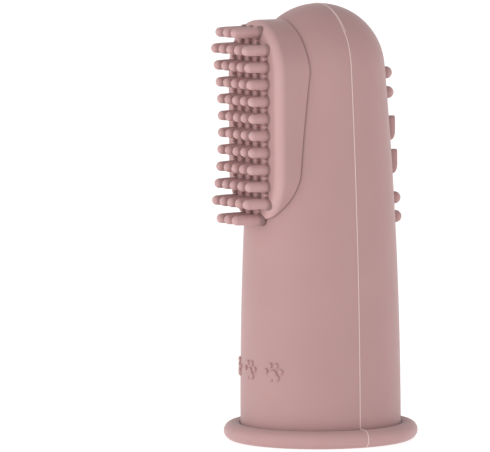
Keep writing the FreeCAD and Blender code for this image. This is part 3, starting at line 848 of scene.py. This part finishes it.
class PrintsOperator(bpy.types.Operator):
    """Model the raised pads of a paw print, and set the prints round the foot"""
    bl_idname = "brush.prints"
    bl_label = "Paw prints"

    SIDES = 32
    BULGE = 0.6
    LOBE_DROP = 0.6 * MM

    def execute(self, context):
        sizes = context.scene.brush_prints
        lobes = [(0.0, -0.08 * MM, sizes.middle_lobe), (-0.42 * MM, -0.5 * MM, sizes.side_lobe),
                 (0.42 * MM, -0.5 * MM, sizes.side_lobe)]
        toes = [(-1.05 * MM, 0.285 * MM, sizes.toe), (-0.42 * MM, 0.95 * MM, sizes.toe),
                (0.42 * MM, 0.95 * MM, sizes.toe), (1.05 * MM, 0.285 * MM, sizes.toe)]
        for number, side in enumerate(("left", "middle", "right"), start=-1):
            turn = number * sizes.spacing - math.radians(90)
            large = self.pads(f"large_pad_{side}", lobes, turn, sizes)
            small = self.pads(f"toe_pads_{side}", toes, turn, sizes)
            for lobe in large[1:]:
                modify(large[0], "BOOLEAN", operation="UNION", solver="EXACT", object=lobe)
                discard(lobe)
            paw = join(f"raised_paw_{side}", [large[0]] + small)
            finished(paw, [f"paw_print_{side}"], smooth=60)
        return {"FINISHED"}

    def pads(self, name, places, turn, sizes):
        """Low round pads on the wall, each square to the wall where it stands."""
        height = self.print_height()
        pads = []
        for number, (across, up, radius) in enumerate(places):
            crown = [(radius * math.sin(math.radians(a)) ** self.BULGE,
                      sizes.relief * math.cos(math.radians(a)) ** self.BULGE)
                     for a in range(15, 90, 15)]
            profile = [(0.0, sizes.relief)] + crown
            profile += [(radius, 0.0), (radius, -sizes.depth), (0.0, -sizes.depth)]
            pad = turned(f"{name}_{number}", profile, self.SIDES)
            place, facing = on_wall(turn + across / wall_radius(height), height + up)
            pads.append(copy_of(pad, f"{name}_set_{number}", place, facing))
            discard(pad)
        return pads

    def print_height(self):
        """Height of the middle of a print."""
        sizes = bpy.context.scene.brush_prints
        low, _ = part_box("paw_print_middle")
        return low.z + self.LOBE_DROP + sizes.side_lobe


# ------------------------------------------------------------------------------- flash

class FlashOperator(bpy.types.Operator):
    """Draw the thin flash along the parting line and round the mouth"""
    bl_idname = "brush.flash"
    bl_label = "Parting line"

    def execute(self, context):
        sizes = context.scene.brush_flash
        # The flash's paler colour is partly its translucency and partly a painted highlight.
        finished(self.parting_line(sizes), kind="silicone_flash", smooth=60)
        finished(self.mouth_ring(sizes), kind="silicone_flash", smooth=60)
        return {"FINISHED"}

    def parting_line(self, sizes):
        """The outline of the moulding where the mould's halves meet, as a thin round bead."""
        thimble = bpy.context.scene.brush_thimble
        lift = sizes.proud - sizes.line
        bead = thimble.bead_radius
        past_crest, short_of_foot = 100, -64
        over_bead = bow((RIM_RADIUS - bead, bead), bead + lift, past_crest, short_of_foot, 20)
        line = turned("parting_line", outer_profile(lift) + over_bead, thimble.steps)
        line.rotation_euler = (0, 0, math.pi / thimble.steps)
        edit(apply_place(line))
        bpy.ops.mesh.select_all(action="SELECT")
        bpy.ops.mesh.bisect(plane_co=(0, 0, 0), plane_no=(0, 1, 0),
                            clear_inner=True, clear_outer=True)
        leave_edit()
        return self.thickened(line, sizes.line, 3)

    def thickened(self, line, thickness, resolution):
        """Make a round bead of a chain of edges."""
        take(line)
        bpy.ops.object.convert(target="CURVE")
        line.data.bevel_depth = thickness
        line.data.bevel_resolution = resolution
        line.data.use_fill_caps = True
        bpy.ops.object.convert(target="MESH")
        return weld(bpy.context.object)

    def mouth_ring(self, sizes):
        """A thin lip with a round nose, whose tail runs into the round of the mouth."""
        thimble = bpy.context.scene.brush_thimble
        reach = BORE_RADIUS + thimble.lead_in - sizes.ring
        lip = bow((reach, sizes.ring), sizes.ring, -90, 90, 8)
        tail = [(reach - 4 * sizes.ring, 1.4 * sizes.ring)]
        return turned("mouth_flash", lip + tail + lip[:1], thimble.steps)


# ------------------------------------------------------------------------------- stage

class StageOperator(bpy.types.Operator):
    """Set the floor, the soft lights and the camera"""
    bl_idname = "brush.stage"
    bl_label = "Stage"

    def execute(self, context):
        stage = context.scene.brush_stage
        self.floor(stage)
        self.lights(stage)
        self.camera(context.scene, stage)
        context.scene.view_settings.view_transform = "Standard"
        return {"FINISHED"}

    def floor(self, stage):
        clear_selection()
        bpy.ops.mesh.primitive_circle_add(vertices=96, radius=6.0, fill_type="NGON",
                                          location=(0, 0, -0.02 * MM))
        floor = named("studio_floor")
        paper = bpy.data.materials.new("studio_paper")
        paper.use_nodes = True
        nodes, links = paper.node_tree.nodes, paper.node_tree.links
        shader = nodes["Principled BSDF"]
        shader.inputs["Base Color"].default_value = (*stage.floor, 1)
        shader.inputs["Roughness"].default_value = 0.9
        shader.inputs["Emission Color"].default_value = (1, 1, 1, 1)
        shader.inputs["Emission Strength"].default_value = stage.floor_glow
        side = nodes.new("ShaderNodeNewGeometry")
        clear = nodes.new("ShaderNodeBsdfTransparent")
        one_way = nodes.new("ShaderNodeMixShader")
        links.new(side.outputs["Backfacing"], one_way.inputs["Fac"])
        links.new(shader.outputs["BSDF"], one_way.inputs[1])
        links.new(clear.outputs["BSDF"], one_way.inputs[2])
        links.new(one_way.outputs["Shader"], nodes["Material Output"].inputs["Surface"])
        floor.data.materials.append(paper)

    def lights(self, stage):
        world = bpy.data.worlds.new("studio_air")
        world.use_nodes = True
        nodes, links = world.node_tree.nodes, world.node_tree.links
        way = nodes.new("ShaderNodeTexCoord")
        split = nodes.new("ShaderNodeSeparateXYZ")
        rise = nodes.new("ShaderNodeMapRange")
        rise.inputs["From Max"].default_value = stage.haze
        rise.inputs["To Min"].default_value = stage.horizon
        rise.inputs["To Max"].default_value = stage.zenith
        links.new(way.outputs["Generated"], split.inputs["Vector"])
        links.new(split.outputs["Z"], rise.inputs["Value"])
        links.new(rise.outputs["Result"], nodes["Background"].inputs["Strength"])
        nodes["Background"].inputs["Color"].default_value = (1, 1, 1, 1)
        bpy.context.scene.world = world
        middle = Vector((0, 0, TOTAL_HEIGHT / 2))
        self.soft_light("key", middle, stage.key_side, stage.key, stage)
        self.soft_light("fill", middle, stage.fill_side, stage.fill, stage)

    def way_out(self, azimuth, elevation):
        """A direction, from its angle round the brush and its height."""
        return Vector((math.sin(azimuth) * math.cos(elevation),
                       -math.cos(azimuth) * math.cos(elevation), math.sin(elevation)))

    def soft_light(self, name, target, side, power, stage):
        clear_selection()
        way = self.way_out(stage.azimuth + side, stage.light_rise)
        bpy.ops.object.light_add(type="AREA", location=target + way * stage.light_distance)
        light = bpy.context.object
        light.name = name
        light.rotation_euler = way.to_track_quat("Z", "Y").to_euler()
        light.data.size = stage.light_size
        light.data.energy = power

    def camera(self, scene, stage):
        way = self.way_out(stage.azimuth, stage.elevation)
        right = Vector((math.cos(stage.azimuth), math.sin(stage.azimuth), 0))
        target = Vector((0, 0, stage.aim)) - right * stage.beside
        clear_selection()
        bpy.ops.object.camera_add(location=target + way * stage.distance)
        camera = bpy.context.object
        camera.name = "camera"
        upright = way.to_track_quat("Z", "Y")
        camera.rotation_euler = (Quaternion(way, -stage.roll) @ upright).to_euler()
        camera.data.lens = stage.focal
        camera.data.sensor_width = 36.0
        camera.data.clip_start = 0.05
        camera.data.clip_end = 20.0
        scene.camera = camera


# ------------------------------------------------------------------------------- panel

GROUPS = {
    "brush_thimble": ThimbleSizes,
    "brush_pad": PadSizes,
    "brush_bristles": BristleSizes,
    "brush_nubs": NubSizes,
    "brush_prints": PrintSizes,
    "brush_flash": FlashSizes,
    "brush_finish": SiliconeFinish,
    "brush_stage": StageSettings,
}

OPERATORS = [ThimbleOperator, PadOperator, BristlesOperator, StudsOperator, NubsOperator,
             PrintsOperator, FlashOperator, StageOperator]


class ToothbrushPanel(bpy.types.Panel):
    """The brush's sizes, and a button for each of its pieces"""
    bl_idname = "VIEW3D_PT_finger_toothbrush"
    bl_label = "Finger toothbrush"
    bl_space_type = "VIEW_3D"
    bl_region_type = "UI"
    bl_category = "Toothbrush"

    def draw(self, context):
        for group in GROUPS:
            box = self.layout.box()
            settings = getattr(context.scene, group)
            for name in settings.__annotations__:
                box.prop(settings, name)
        for operator in OPERATORS:
            self.layout.operator(operator.bl_idname)


def register():
    for group, settings in GROUPS.items():
        bpy.utils.register_class(settings)
        setattr(bpy.types.Scene, group, PointerProperty(type=settings))
    for kind in OPERATORS + [ToothbrushPanel]:
        bpy.utils.register_class(kind)


def unregister():
    for kind in reversed(OPERATORS + [ToothbrushPanel]):
        bpy.utils.unregister_class(kind)
    for group, settings in reversed(GROUPS.items()):
        delattr(bpy.types.Scene, group)
        bpy.utils.unregister_class(settings)


def main():
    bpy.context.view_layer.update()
    register()
    bpy.ops.brush.thimble()
    bpy.ops.brush.pad()
    bpy.ops.brush.bristles()
    bpy.ops.brush.studs()
    bpy.ops.brush.nubs()
    bpy.ops.brush.prints()
    bpy.ops.brush.flash()
    bpy.ops.brush.stage()


if __name__ == "__main__":
    main()
